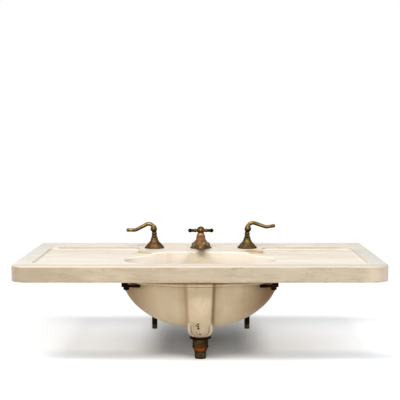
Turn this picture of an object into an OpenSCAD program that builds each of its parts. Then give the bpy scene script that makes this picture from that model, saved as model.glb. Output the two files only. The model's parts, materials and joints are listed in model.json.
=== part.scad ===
// Marble lavatory top with an oval china basin under it, two lever valves, a centre spout
// and a pop-up waste worked by the T-handle on the spout.
// Millimetres. X runs to the right, Y to the wall and Z up.
// The origin is the middle of the rear edge, on the top surface of the marble.

/* [Marble top] */
// Width of the slab from left to right
slab_w = 1067; // [1040:1:1120]
// Depth of the slab from the wall to the front face
slab_d = 558; // [550:1:600]
// Thickness of the slab
slab_t = 46; // [44:0.5:50]
// Radius of the two front corners in plan
corner_r = 50; // [30:1:60]
// Radius of the polished top edge
arris_r = 5; // [3:0.5:8]
// Width of the raised flat border at the front and the sides
border_w = 52; // [48:1:58]
// Depth of the raised ledge along the wall
ledge_d = 130; // [120:1:140]
// Depth of the sunk surface below the border, also the radius of its coved edge
recess_h = 7; // [5:0.5:9]
// Radius of the outer corners of the sunk surface
recess_r = 35; // [25:1:50]
// Width of the raised deck that carries the taps
deck_w = 390; // [380:2:410]
// Depth of the raised deck from the wall
deck_d = 258; // [254:1:262]
// Radius of the front corners of the deck
deck_r = 45; // [35:1:55]
// Radius of the corners between the deck and the ledge
deck_root_r = 20; // [12:1:26]

/* [Basin opening] */
// Distance from the wall to the middle of the basin
bowl_y = 362; // [360:1:372]
// Half of the width of the opening in the marble
cut_a = 225; // [215:1:230]
// Half of the depth of the opening in the marble
cut_b = 132; // [126:1:136]
// Radius of the polished edge of the opening
lip_r = 4; // [2:0.5:6]

/* [China basin] */
// How far the outer wall of the bowl stands outside the opening, at its top
body_out = 10; // [8:0.5:12]
// Thickness of the china wall
wall_t = 9; // [7:0.5:10]
// Thickness of the bedding putty between marble and china
bed_t = 3; // [2:0.5:5]
// Width of the rim flange outside the bowl wall
flange_w = 18; // [16:0.5:20]
// Thickness of the rim flange
flange_t = 18; // [17:0.5:22]
// Depth of the bowl from the top of the rim to its outer bottom
bowl_h = 163; // [160:1:168]
// How far the face of the outlet stands below the bowl
boss_drop = 25; // [23:1:30]
// Half width of the overflow chamber at the rim
chamber_top = 42; // [38:1:46]
// Half width of the overflow chamber above the outlet
chamber_low = 36.5; // [34:0.5:38]
// Number of overflow slots
slot_n = 5; // [3:2:5]

/* [Taps] */
// Distance from the wall to the line of the taps and the spout
tap_y = 140; // [136:1:142]
// Distance of each valve from the middle
valve_x = 149; // [143:1:155]
// Radius of the holes for the shanks in the marble
shank_hole_r = 16; // [14:0.5:18]
// Radius of the shanks
shank_r = 12.5; // [11.5:0.25:12.5]
// Outer radius of the supply tails
tail_r = 8.57; // [8:0.01:8.6]
// Length of each supply tail below the marble
tail_drop = 216; // [180:1:240]
// Downward slope of the hot lever in degrees
hot_slope = 28; // [15:1:30]
// Downward slope of the cold lever in degrees
cold_slope = 19; // [15:1:30]
// Reach of the levers from the valve axis to the ball at the tip
lever_reach = 84; // [80:1:95]
// Reach of the spout from its base to the middle of its outlet
spout_reach = 104; // [98:1:112]
// How far the crossover tubes run below the marble
cross_drop = 38; // [36:1:46]

/* [Waste] */
// Outer radius of the threaded tube below the drain flange
drain_r = 22.5; // [21.5:0.25:22.5]
// Outer radius of the drain tail
drain_tail_r = 17; // [16:0.25:17.2]
// Length of the waste below the face of the outlet
drain_drop = 68; // [62:1:90]
// Lift of the T-handle from open to closed
lift_h = 40; // [30:1:42]

/* [Clamps] */
// Distance of the clamp bolts from the middle, left and right
clamp_x = 213; // [210:1:216]
// Distance of the clamp bolts from the middle of the basin, front and rear
clamp_y = 101; // [99:1:104]
// Radius of the clamp bolts
bolt_r = 4; // [3:0.5:4.5]

/* [Hidden] */
$fn = 64;
eps = 0.5;
gap = 0.3;
fit = 0.05;
rim_z = -(slab_t + bed_t);
body_a = cut_a + body_out;
body_b = cut_b + body_out;
in_a = body_a - wall_t;
in_b = body_b - wall_t;
in_h = bowl_h - wall_t - 1;
basin_h = bowl_h + boss_drop;
flange_a = body_a + flange_w;
flange_b = body_b + flange_w;
chamber_a = 110;
chamber_b = flange_b - 3;
chamber_h = basin_h - 1;
chamber_t = 7;
boss_r = chamber_low + 5.5;
outlet_r = 31;
bore_r = drain_r + 2.5;
seat_z = rim_z - in_h - 2;
seat_r = 36;
land_top = in_h + 11;
land_low = basin_h - 10;
china_z = rim_z - basin_h;
gasket_t = 2.3;
locknut_t = 5;
nut_z = china_z - gasket_t - locknut_t;
waste_z = nut_z - gap;
drain_end = china_z - drain_drop;
tube_end = waste_z - 9.5;
port_z = tube_end - 8.5;
taper_top = waste_z - 27;
taper_end = waste_z - 41;
pivot_y = 30;
rod_r = 2.5;
strap_y = 6;
plug_open = pivot_y * lift_h / (bowl_y - pivot_y - tap_y + strap_y) + gap;
seat_h = 4.5;
throat_r = drain_r - 4;
under_z = -slab_t;
cross_z = under_z - cross_drop;
washer_t = 3;
shank_nut_t = 8;
shank_nut_z = under_z - washer_t - shank_nut_t;
neck_z = 34;
hub_z = 61.5;
tail_end = under_z - tail_drop;

// Shared shapes

module ring(r_out, r_in, h) {
  difference() {
    cylinder(r = r_out, h = h);
    translate([0, 0, -eps]) cylinder(r = r_in, h = h + 2 * eps);
  }
}

module hex(flats, h) {
  cylinder(r = flats / 2 / cos(30), h = h, $fn = 6);
}

module hex_ring(flats, r_in, h) {
  difference() {
    hex(flats, h);
    translate([0, 0, -eps]) cylinder(r = r_in, h = h + 2 * eps);
  }
}

module quarter_disc(r) {
  intersection() {
    circle(r = r);
    translate([0, -r]) square(r);
  }
}

// The part of a square of side r that lies outside a quarter circle of radius r
module spandrel(r) {
  difference() {
    square(r);
    circle(r = r);
  }
}

// The lower half of an ellipsoid with its flat side at the origin, turned as four quarters
module half_bowl(a, b, h) {
  scale([a / h, b / h, 1]) for (quarter = [0 : 3])
    rotate([0, 0, 45 + quarter * 90]) rotate_extrude(angle = 90) quarter_disc(h);
}

module oval(a, b, h) {
  scale([a / b, 1, 1]) cylinder(r = b, h = h);
}

module at_bowl() {
  translate([0, -bowl_y, 0]) children();
}

module at_spout() {
  translate([0, -tap_y, 0]) children();
}

module at_hot() {
  translate([-valve_x, -tap_y, 0]) children();
}

// The cold side is the hot side mirrored
module at_cold() {
  translate([valve_x, -tap_y, 0]) mirror([1, 0, 0]) children();
}

// Marble top

module edge_section() {
  translate([0, -slab_t]) square([corner_r - arris_r, slab_t]);
  translate([0, -slab_t]) square([corner_r, slab_t - arris_r]);
  translate([corner_r - arris_r, -arris_r]) circle(r = arris_r);
}

module edge_run(length) {
  rotate([90, 0, 0]) linear_extrude(height = length) edge_section();
}

module slab_blank() {
  side_x = slab_w / 2 - corner_r;
  front_y = slab_d - corner_r;
  translate([-side_x, -front_y, -slab_t]) cube([2 * side_x, front_y, slab_t]);
  translate([side_x, -front_y, 0]) rotate([0, 0, -90]) edge_run(2 * side_x);
  for (side = [0, 1]) mirror([side, 0, 0]) {
    translate([side_x, 0, 0]) edge_run(front_y);
    translate([side_x, -front_y, 0]) rotate([0, 0, -90]) rotate_extrude(angle = 90) edge_section();
  }
}

recess_x = slab_w / 2 - border_w;
recess_front = slab_d - border_w;
deck_x = deck_w / 2;

module cove_run(length) {
  rotate([90, 0, 0]) linear_extrude(height = length) quarter_disc(recess_h);
}

module cove_corner(r) {
  rotate_extrude(angle = 90) translate([r - recess_h, 0]) quarter_disc(recess_h);
}

module deck_corner(r) {
  rotate_extrude(angle = 90) translate([r + recess_h, 0]) mirror([1, 0]) quarter_disc(recess_h);
}

// Right half of the sunk floor, drawn inside its coved edge
module recess_floor() {
  floor_x = recess_x - recess_h;
  difference() {
    union() {
      translate([0, recess_h - recess_front]) square([floor_x, recess_front - deck_d - 2 * recess_h]);
      translate([deck_x + recess_h, recess_h - recess_front])
        square([floor_x - deck_x - recess_h, recess_front - ledge_d - 2 * recess_h]);
    }
    translate([recess_x - recess_r, recess_r - recess_front]) rotate(-90) spandrel(recess_r - recess_h);
    translate([recess_x - recess_r, -ledge_d - recess_r]) spandrel(recess_r - recess_h);
    translate([deck_x + deck_root_r, -ledge_d - deck_root_r]) rotate(90) spandrel(deck_root_r - recess_h);
  }
  translate([deck_x - deck_r, deck_r - deck_d]) rotate(-90) spandrel(deck_r + recess_h);
}

module recess_cut() {
  run_x = recess_x - recess_r;
  translate([run_x, recess_h - recess_front, 0]) rotate([0, 0, -90]) cove_run(2 * run_x);
  translate([deck_r - deck_x, -deck_d - recess_h, 0]) rotate([0, 0, 90]) cove_run(2 * (deck_x - deck_r));
  for (side = [0, 1]) mirror([side, 0, 0]) {
    translate([0, 0, -recess_h]) linear_extrude(height = recess_h) recess_floor();
    translate([recess_x - recess_h, -ledge_d - recess_r, 0])
      cove_run(recess_front - ledge_d - 2 * recess_r);
    translate([deck_x + deck_root_r, -ledge_d - recess_h, 0]) rotate([0, 0, 90])
      cove_run(run_x - deck_x - deck_root_r);
    translate([deck_x + recess_h, deck_r - deck_d, 0]) rotate([0, 0, 180])
      cove_run(deck_d - ledge_d - deck_r - deck_root_r);
    translate([run_x, recess_r - recess_front, 0]) rotate([0, 0, -90]) cove_corner(recess_r);
    translate([run_x, -ledge_d - recess_r, 0]) cove_corner(recess_r);
    translate([deck_x + deck_root_r, -ledge_d - deck_root_r, 0]) rotate([0, 0, 90])
      cove_corner(deck_root_r);
    translate([deck_x - deck_r, deck_r - deck_d, 0]) rotate([0, 0, -90]) deck_corner(deck_r);
  }
}

// Ring that rounds the edge of the opening
module lip_cut() {
  scale([cut_a / cut_b, 1, 1]) rotate_extrude() translate([cut_b, 0]) difference() {
    translate([-eps, -lip_r]) square([lip_r + eps, lip_r]);
    translate([lip_r, -lip_r]) circle(r = lip_r);
  }
}

module marble_top() {
  color("ivory") difference() {
    slab_blank();
    recess_cut();
    at_bowl() translate([0, 0, -slab_t - eps]) oval(cut_a, cut_b, slab_t + 2 * eps);
    at_bowl() lip_cut();
    intersection() {
      at_bowl() translate([0, 0, -recess_h]) lip_cut();
      translate([-slab_w / 2, -slab_d, -slab_t]) cube([slab_w, slab_d - deck_d - recess_h, slab_t]);
    }
    for (x = [-valve_x, 0, valve_x])
      translate([x, -tap_y, -slab_t - eps]) cylinder(r = shank_hole_r, h = slab_t + 2 * eps);
    clamp_places() translate([0, 0, -slab_t - eps]) cylinder(r = lead_r, h = lead_h + eps);
  }
}

// China basin with its overflow chamber

module chamber_outline(inset) {
  straight_z = 40 - basin_h;
  turn_z = 14 - basin_h;
  top_x = chamber_top - inset;
  low_x = chamber_low - inset;
  end_x = outlet_r - inset;
  polygon([
    [top_x, -inset], [low_x, straight_z], [low_x, turn_z], [end_x, -basin_h],
    [-end_x, -basin_h], [-low_x, turn_z], [-low_x, straight_z], [-top_x, -inset]
  ]);
}

module chamber_solid(inset) {
  intersection() {
    half_bowl(chamber_a - inset, chamber_b - inset, chamber_h - inset);
    translate([0, 20, 0]) rotate([90, 0, 0]) linear_extrude(height = chamber_b + 40) chamber_outline(inset);
  }
}

module outlet_boss() {
  rotate_extrude() polygon([
    [0, -basin_h + 48], [boss_r, -basin_h + 48], [boss_r - 1, -basin_h + 20], [boss_r - 4.5, -basin_h + 8],
    [outlet_r, -basin_h], [0, -basin_h]
  ]);
}

module flange() {
  soft_r = 5;
  scale([flange_a / flange_b, 1, 1]) rotate_extrude() {
    translate([0, -flange_t]) square([flange_b - soft_r, flange_t]);
    translate([0, soft_r - flange_t]) square([flange_b, flange_t - soft_r]);
    translate([flange_b - soft_r, soft_r - flange_t]) circle(r = soft_r);
  }
}

module overflow_slots() {
  slot_w = 6;
  slot_h = 20;
  for (i = [0 : slot_n - 1])
    translate([(i - (slot_n - 1) / 2) * 13, -in_b - chamber_t + 2, -56]) {
      translate([-slot_w / 2, 0, 0]) cube([slot_w, 22, slot_h]);
      for (z = [0, slot_h]) translate([0, 0, z]) rotate([-90, 0, 0]) cylinder(r = slot_w / 2, h = 22);
    }
}

module basin() {
  color("wheat") at_bowl() translate([0, 0, rim_z]) difference() {
    union() {
      flange();
      half_bowl(body_a, body_b, bowl_h);
      chamber_solid(0);
      outlet_boss();
    }
    half_bowl(in_a, in_b, in_h);
    translate([0, 0, -in_h - 2]) cylinder(r = seat_r, h = 20);
    translate([0, 0, -basin_h - eps]) cylinder(r = bore_r, h = basin_h - in_h - eps);
    translate([0, 0, -land_low]) cylinder(r = bore_r + 7, h = land_low - land_top);
    difference() {
      chamber_solid(chamber_t);
      half_bowl(in_a + chamber_t, in_b + chamber_t, in_h + chamber_t);
      translate([-chamber_top, -chamber_b, -flange_t - 4])
        cube([2 * chamber_top, chamber_b + 30, flange_t + 9]);
      translate([-chamber_top, -chamber_b, -basin_h])
        cube([2 * chamber_top, chamber_b + 30, basin_h - land_low]);
    }
    overflow_slots();
  }
}

module basin_bedding() {
  color("lightgray") at_bowl() translate([0, 0, rim_z]) difference() {
    oval(flange_a - 4, flange_b - 4, bed_t);
    translate([0, 0, -eps]) oval(in_a + 2, in_b + 2, bed_t + 2 * eps);
  }
}

// Four clamps that hold the basin rim up against the marble

lead_r = bolt_r + 3;
lead_h = 22;
clamp_t = 6;
clamp_w = 16;
clamp_nut_t = 8;
clamp_nut_flats = 15;
clamp_reach = 34;
clamp_end = 12;
clamp_foot_t = 6.5;
clamp_turn = 12;
clamp_z = rim_z - flange_t;

module clamp_places() {
  for (x = [0, 1], y = [0, 1])
    at_bowl() mirror([x, 0, 0]) mirror([0, y, 0]) translate([clamp_x, -clamp_y, 0])
      rotate([0, 0, clamp_turn]) children();
}

module clamp_leads() {
  color("slategray") clamp_places() translate([0, 0, -slab_t]) ring(lead_r, bolt_r, lead_h);
}

module clamp_bars() {
  color("sienna") clamp_places() difference() {
    union() {
      translate([-clamp_reach, -clamp_w / 2, clamp_z - clamp_t])
        cube([clamp_reach + clamp_end, clamp_w, clamp_t]);
      translate([-clamp_reach, 0, clamp_z - clamp_t]) cylinder(r = clamp_w / 2, h = clamp_t);
      translate([clamp_end - clamp_foot_t, -clamp_w / 2, clamp_z - eps])
        cube([clamp_foot_t, clamp_w, under_z - clamp_z + eps - gap]);
    }
    translate([0, 0, clamp_z - clamp_t - eps]) cylinder(r = bolt_r + 0.6, h = clamp_t + 2 * eps);
  }
}

module clamp_bolts() {
  bolt_z = clamp_z - clamp_t - clamp_nut_t - 2;
  color("sienna") clamp_places() translate([0, 0, bolt_z])
    cylinder(r = bolt_r, h = lead_h - slab_t - bolt_z - gap);
}

module clamp_nuts() {
  color("sienna") clamp_places() translate([0, 0, clamp_z - clamp_t - clamp_nut_t])
    hex_ring(clamp_nut_flats, bolt_r, clamp_nut_t);
}

// Spout

spout_z = 28;
spout_r = 13.8;
spout_t = 5;
spout_bend = 20;
spout_top = 49.6;
guide_r = 5.2;
guide_bore = 3.4;
guide_end = cross_z - 16;
spout_shank = cross_z + 9;
cavity_top = 36;

// The turned body of the spout: a skirt that narrows to a waist, a shoulder and a small collar
module spout_profile() {
  foot_r = 24;
  foot_z = 15;
  skirt_r = 19.5;
  skirt_z = 22.5;
  ankle_r = 15.6;
  ankle_z = 27.5;
  waist_r = 14.6;
  waist_z = 31;
  shoulder_r = 14.2;
  shoulder_z = 38.3;
  collar_r = 9.8;
  collar_z = 47.4;
  rotate_extrude() polygon([
    [0, gap], [foot_r, gap], [foot_r, foot_z], [skirt_r, skirt_z], [ankle_r, ankle_z], [waist_r, waist_z],
    [shoulder_r, shoulder_z], [collar_r + 0.6, collar_z], [collar_r, collar_z], [collar_r, spout_top],
    [0, spout_top]
  ]);
}

// The straight run of the spout and its bend down to the nose; the run reaches a little into the bend
module spout_path(r) {
  straight = spout_reach - spout_bend;
  translate([0, 0, spout_z]) rotate([90, 0, 0]) cylinder(r = r - 0.1, h = straight + 1.2);
  translate([0, -straight, spout_z - spout_bend]) rotate([90, 0, -90])
    rotate_extrude(angle = 90) translate([spout_bend, 0]) circle(r = r);
}

// Eight lobes round the foot
module spout_lobes() {
  lobe_r = 8.8;
  lobe_h = lobe_r + 0.1;
  lobe_n = 8;
  lobe_circle_r = 22.8;
  plate_r = 34.5;
  plate_t = 2.5;
  translate([0, 0, gap]) cylinder(r = plate_r, h = plate_t);
  for (i = [0 : lobe_n - 1]) rotate([0, 0, (i + 0.5) * 360 / lobe_n]) translate([lobe_circle_r, 0, gap]) {
    cylinder(r = lobe_r, h = lobe_h);
    translate([0, 0, lobe_h]) sphere(r = lobe_r);
  }
}

module spout() {
  color("peru") at_spout() {
    difference() {
      union() {
        spout_lobes();
        spout_profile();
        spout_path(spout_r);
        translate([0, 0, spout_shank]) cylinder(r = shank_r, h = 10 - spout_shank);
      }
      spout_path(spout_r - spout_t);
      translate([0, 0, spout_shank - eps]) cylinder(r = shank_r - 3, h = cavity_top - spout_shank + eps);
      translate([0, -spout_reach, spout_z - spout_bend - eps])
        cylinder(r = spout_r - spout_t + 0.8, h = 2 + eps);
      translate([0, 0, cavity_top - eps]) cylinder(r = guide_bore, h = spout_top - cavity_top + 2 * eps);
    }
    translate([0, 0, guide_end]) ring(guide_r, guide_bore, cavity_top - guide_end + eps);
  }
}

module spout_washer() {
  color("dimgray") at_spout() shank_washer();
}

module spout_locknut() {
  color("peru") at_spout() shank_locknut();
}

port_r = 10;
port_t = 4;
port_x = 27;
chest_r = 17;
chest_top = under_z - 16;

module side_port(length) {
  rotate([0, 90, 0]) cylinder(r = port_r, h = length);
}

module side_bore(length) {
  rotate([0, 90, 0]) cylinder(r = port_r - port_t, h = length);
}

// Brings the two crossover tubes together under the spout
module spout_tee() {
  tee_low = 13;
  floor_t = 4;
  color("peru") at_spout() difference() {
    union() {
      translate([0, 0, cross_z - tee_low]) cylinder(r = chest_r, h = chest_top - cross_z + tee_low);
      translate([-port_x, 0, cross_z]) side_port(2 * port_x);
    }
    translate([0, 0, spout_shank]) cylinder(r = shank_r, h = chest_top - spout_shank + eps);
    translate([0, 0, cross_z - tee_low + floor_t]) cylinder(r = shank_r - 3, h = 2 * tee_low);
    translate([-port_x - eps, 0, cross_z]) side_bore(2 * port_x + 2 * eps);
    translate([0, 0, cross_z - tee_low - eps]) cylinder(r = guide_r, h = tee_low);
  }
}

// T-handle, lift rod and strap of the pop-up waste

handle_z = 55.4;
lift_r = 3;
rod_top = 62;

// A ball whose axis lies along the bar of the T-handle
module bead(x, r) {
  translate([x, 0, handle_z]) rotate([0, 90, 0]) sphere(r = r);
}

module lift_handle() {
  bar_x = 34;
  bar_r = 3.6;
  dome_r = 11.75;
  dome_z = 56.1;
  color("saddlebrown") at_spout() difference() {
    union() {
      rotate([0, 0, 90]) intersection() {
        translate([0, 0, dome_z]) sphere(r = dome_r);
        translate([0, 0, spout_top + gap]) cylinder(r = dome_r + 1, h = 2 * dome_r);
      }
      translate([-bar_x, 0, handle_z]) rotate([0, 90, 0]) cylinder(r = bar_r, h = 2 * bar_x);
      for (side = [-1, 1]) {
        bead(side * 18, 5.2);
        bead(side * 25.5, 4.4);
        bead(side * bar_x, 5.8);
      }
    }
    translate([0, 0, spout_top]) cylinder(r = lift_r, h = rod_top - spout_top);
  }
}

// The strap's block holds the rod just below the guide tube when the T-handle is up
block_low = 5;
block_top = 7;
strap_top = guide_end - lift_h - block_top - 1;
strap_w = 12;
strap_t = 2;
strap_hole_n = 5;
strap_hole_gap = 16;
screw_r = 2;

module lift_rod() {
  rod_low = strap_top - block_low - 3;
  color("peru") at_spout() translate([0, 0, rod_low]) cylinder(r = lift_r, h = rod_top - rod_low);
}

module lift_strap() {
  strap_low = port_z - 4;
  color("peru") at_spout() difference() {
    union() {
      translate([-strap_w / 2, -5, strap_top - block_low])
        cube([strap_w, strap_y + strap_t + 4, block_low + block_top]);
      translate([-strap_w / 2, strap_y - 1, strap_low])
        cube([strap_w, strap_t, strap_top + block_top - strap_low]);
      translate([0, strap_y - 1, strap_low]) rotate([-90, 0, 0]) cylinder(r = strap_w / 2, h = strap_t);
    }
    translate([0, 0, strap_top - block_low - eps]) cylinder(r = lift_r, h = block_low + block_top + 2 * eps);
    translate([0, -6, strap_top + 1]) rotate([-90, 0, 0]) cylinder(r = screw_r, h = 6);
    for (i = [0 : strap_hole_n - 1])
      translate([0, 0, port_z + i * strap_hole_gap]) rotate([-90, 0, 0])
        cylinder(r = rod_r + 1.2, h = 2 * strap_y + strap_t);
  }
}

// Thumbscrew that holds the strap on the rod
module strap_screw() {
  head_r = 4.5;
  head_z = 2.5;
  head_h = 4;
  wing_w = 14;
  wing_t = 2;
  wing_h = 7;
  color("peru") at_spout() translate([0, -lift_r, strap_top + 1]) rotate([90, 0, 0]) {
    cylinder(r = screw_r, h = head_z + eps);
    translate([0, 0, head_z]) cylinder(r = head_r, h = head_h);
    translate([-wing_w / 2, -wing_t / 2, head_z + head_h - eps]) cube([wing_w, wing_t, wing_h]);
  }
}

// Waste fitting

top_z = seat_z + 3.5;

// Flange over the outlet with its threaded tube; four windows let the overflow water in
module drain_flange() {
  window_w = 10;
  color("sienna") at_bowl() difference() {
    union() {
      translate([0, 0, seat_z]) cylinder(r = seat_r - 1, h = top_z - seat_z);
      translate([0, 0, tube_end]) cylinder(r = drain_r, h = seat_z - tube_end + eps);
    }
    translate([0, 0, tube_end - eps]) cylinder(r = throat_r, h = top_z - tube_end + 2 * eps);
    translate([0, 0, top_z - seat_h]) cylinder(r1 = throat_r, r2 = throat_r + seat_h, h = seat_h);
    for (turn = [45, 135])
      rotate([0, 0, turn]) translate([-drain_r - 1, -window_w / 2, rim_z - land_low + 2])
        cube([2 * drain_r + 2, window_w, land_low - land_top - 5]);
  }
}

module drain_gasket() {
  color("dimgray") at_bowl() translate([0, 0, china_z - gasket_t])
    ring(outlet_r - 1, drain_r + 0.4, gasket_t);
}

module drain_locknut() {
  color("sienna") at_bowl() translate([0, 0, nut_z]) ring(outlet_r + 1, drain_r, locknut_t);
}

module drain_body() {
  color("sienna") at_bowl() difference() {
    union() {
      translate([0, 0, taper_top]) cylinder(r = drain_r + 1, h = waste_z - taper_top);
      translate([0, 0, taper_top]) cylinder(r = drain_r + 1.7, h = 4);
      translate([0, 0, taper_end]) cylinder(r1 = drain_tail_r, r2 = drain_r + 1, h = taper_top - taper_end);
      translate([0, 0, port_z]) rotate([-90, 0, 0]) cylinder(r = pivot_port_r, h = pivot_y + port_out);
    }
    translate([0, 0, tube_end - gap]) cylinder(r = drain_r, h = waste_z - tube_end + 1);
    translate([0, 0, taper_top]) cylinder(r = throat_r + 0.5, h = 20);
    translate([0, 0, taper_end - eps]) cylinder(r = drain_tail_r - 3, h = 20);
    translate([0, 0, port_z]) rotate([-90, 0, 0]) cylinder(r = rod_hole_r, h = pivot_y);
    translate([0, pivot_y - port_out, port_z]) rotate([-90, 0, 0])
      cylinder(r = ball_r + gap, h = 2 * port_out + eps);
  }
}

module drain_tail() {
  color("olive") at_bowl() difference() {
    union() {
      translate([0, 0, drain_end]) cylinder(r = drain_tail_r, h = taper_end - gap - drain_end);
      translate([0, 0, taper_end - eps]) cylinder(r = drain_tail_r - 3 - fit, h = 7);
    }
    translate([0, 0, drain_end - eps]) cylinder(r = drain_tail_r - 4.5, h = drain_drop);
  }
}

seal_t = 2.5;
plug_z = top_z - seal_t + plug_open;
plug_r = throat_r + 2.5;
ball_r = 7;
rod_hole_r = 5.8;
pivot_port_r = 12;
pivot_nut_flats = 30;
pivot_nut_t = 11;
port_out = 8;
seal_out = 5;

plug_stem_r = 3.5;

// The plug has four guiding fins in the tube, and an eye at its foot for the pivot rod
module popup_plug() {
  fin_h = 30;
  eye_r = 7;
  color("peru") at_bowl() {
    translate([0, 0, plug_z + seal_t]) cylinder(r = plug_r, h = 2);
    translate([0, 0, plug_z + seal_t + 2]) cylinder(r1 = plug_r, r2 = 10, h = 2.5);
    translate([0, 0, port_z + eye_r - 2]) cylinder(r = plug_stem_r, h = plug_z + 3 - port_z - eye_r + 2);
    for (turn = [0, 90])
      rotate([0, 0, turn]) translate([0.5 - throat_r, -1, plug_z - fin_h])
        cube([2 * throat_r - 1, 2, fin_h]);
    translate([0, 2, port_z]) rotate([90, 0, 0]) ring(eye_r, rod_r + 0.8, 4);
  }
}

module plug_seal() {
  color("black") at_bowl() translate([0, 0, plug_z]) ring(throat_r + 1.9, plug_stem_r, seal_t);
}

module pivot_rod() {
  color("peru") at_bowl() translate([0, 0, port_z]) {
    translate([0, pivot_y, 0]) sphere(r = ball_r);
    translate([0, -5, 0]) rotate([-90, 0, 0]) cylinder(r = rod_r, h = bowl_y - tap_y + 23);
  }
}

module seal_ring(h) {
  rotate([-90, 0, 0]) ring(ball_r + gap, sqrt(pow(ball_r + gap, 2) - pow(seal_out, 2)), h);
}

// One seal on each side of the ball
module pivot_seals() {
  color("dimgray") at_bowl() {
    translate([0, pivot_y - port_out, port_z]) seal_ring(port_out - seal_out);
    translate([0, pivot_y + seal_out, port_z]) seal_ring(port_out + gap - seal_out);
  }
}

module pivot_nut() {
  color("sienna") at_bowl() translate([0, pivot_y + 1, port_z]) rotate([-90, 0, 0]) difference() {
    hex(pivot_nut_flats, pivot_nut_t);
    translate([0, 0, -eps]) cylinder(r = pivot_port_r, h = port_out - 1 + gap + eps);
    cylinder(r = rod_hole_r, h = pivot_nut_t + eps);
  }
}

// Valves, drawn for the hot side with the lever pointing away from the middle

stem_r = 4;
key_low = cross_z - 14;
key_top = cross_z + 14;
key_low_r = 10.4;
key_top_r = 9.2;
key_hole_r = 5.5;
body_low = cross_z - 20;
union_z = cross_z - 32;
nipple_r = 11.5;
nipple_hex_t = 4;
nipple_flats = 28;
packing_r = 6.8;
packing_h = 7;

hub_r = 10;
hub_out = 2;
hub_low = 9.2;
lever_screw_r = 2;

// The arm rises from the hub, bends outwards, falls at a slope and levels off towards a ball
module lever(slope, tip_rise, lift) {
  root_r = 5.5;
  end_r = 4.6;
  crest_r = 16;
  dip_r = 22;
  fall = 34;
  crest_x = hub_out + crest_r * (1 + sin(slope));
  crest_z = lift + crest_r * cos(slope);
  dip_x = crest_x + fall * cos(slope);
  dip_z = crest_z - fall * sin(slope);
  rise_x = dip_x + dip_r * (sin(slope) + sin(tip_rise));
  rise_z = dip_z + dip_r * (cos(slope) - cos(tip_rise));
  last = (lever_reach - rise_x) / cos(tip_rise);
  mirror([1, 0, 0]) translate([0, 0, hub_z]) difference() {
    union() {
      intersection() {
        translate([hub_out, 0, -1]) sphere(r = hub_r);
        translate([-2 * hub_r, -2 * hub_r, -hub_low]) cube(4 * hub_r);
      }
      translate([0, 0, -hub_low]) cylinder(r1 = 7, r2 = 7.6, h = 4);
      translate([hub_out, 0, 3.4]) cylinder(r1 = 9, r2 = 5.8, h = 7.5);
      translate([hub_out + crest_r, 0, lift]) rotate([90, 0, 0]) rotate([0, 0, 90 - slope])
        rotate_extrude(angle = 90 + slope) translate([crest_r, 0]) circle(r = root_r);
      translate([crest_x, 0, crest_z]) rotate([0, 90 + slope, 0]) translate([0, 0, -1.2])
        cylinder(r1 = root_r - 0.1, r2 = end_r + 0.2, h = fall + 1.2);
      translate([dip_x + dip_r * sin(slope), 0, dip_z + dip_r * cos(slope)]) rotate([90, 0, 0])
        rotate([0, 0, -93 - slope]) rotate_extrude(angle = slope + tip_rise + 3)
          translate([dip_r, 0]) circle(r = end_r + 0.1);
      translate([rise_x, 0, rise_z]) rotate([0, 90 - tip_rise, 0]) translate([0, 0, -1.2])
        cylinder(r = end_r, h = last + 1.2);
      translate([lever_reach, 0, rise_z + last * sin(tip_rise)]) sphere(r = 5.3);
    }
    translate([0, 0, -hub_z]) cylinder(r = stem_r, h = hub_z + 2);
    translate([0, stem_r - 0.2, -2]) rotate([-90, 0, 0]) cylinder(r = lever_screw_r, h = 8);
  }
}

module lever_screw() {
  translate([0, stem_r, hub_z - 2]) rotate([-90, 0, 0]) cylinder(r = lever_screw_r, h = 6.3);
}

// The taper of the ground key, grown by a clearance for its seat in the body
module key_taper(grow, over) {
  translate([0, 0, key_low - over])
    cylinder(r1 = key_low_r + grow, r2 = key_top_r + grow, h = key_top - key_low + 2 * over);
}

// Stem and ground key in one: water enters the key from below and leaves through its side hole,
// which points to the front when the valve is shut and to the spout when it is open
module valve_stem() {
  difference() {
    union() {
      key_taper(0, 0);
      translate([0, 0, key_top - 1]) cylinder(r = stem_r, h = hub_z + 1.7 - key_top + 1);
    }
    translate([0, 0, key_low - eps]) cylinder(r = key_hole_r + 1, h = cross_z + key_hole_r - key_low + eps);
    translate([0, 0, cross_z]) rotate([90, 0, 0]) cylinder(r = key_hole_r, h = 2 * key_low_r);
  }
}

module packing() {
  translate([0, 0, neck_z - packing_h]) ring(packing_r, stem_r + fit, packing_h + gap);
}

// The nut is turned with a low ring, a crevice and a tall ring
module packing_nut() {
  nut_h = hub_z - hub_low - neck_z - 3 * gap;
  translate([0, 0, neck_z + gap]) difference() {
    union() {
      cylinder(r = 7.2, h = nut_h);
      translate([0, 0, 3.4]) rotate_extrude() translate([6.4, 0]) circle(r = 3);
      translate([0, 0, 11.6]) rotate_extrude() translate([5.1, 0]) circle(r = 3.9);
    }
    translate([0, 0, -eps]) cylinder(r = stem_r + fit, h = nut_h + 2 * eps);
  }
}

module escutcheon() {
  flare = [
    [30.8, 0], [30.8, 2.2], [27.6, 5], [20.6, 14], [15.6, 19], [12.6, 24.5], [11, 30], [10.4, neck_z - gap]
  ];
  apex = 1 / cos(22.5);
  translate([0, 0, gap]) difference() {
    rotate([0, 0, 22.5]) rotate_extrude($fn = 8)
      polygon(concat([[0, 0]], [for (p = flare) [p[0] * apex, p[1]]], [[0, neck_z - gap]]));
    translate([0, 0, -eps]) rotate_extrude() polygon([
      [0, 0], [26, 0], [16.5, 12], [shank_r + 0.5, 15], [shank_r + 0.5, 17], [9.4, 20],
      [9.4, neck_z + 2], [0, neck_z + 2]
    ]);
  }
}

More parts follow.
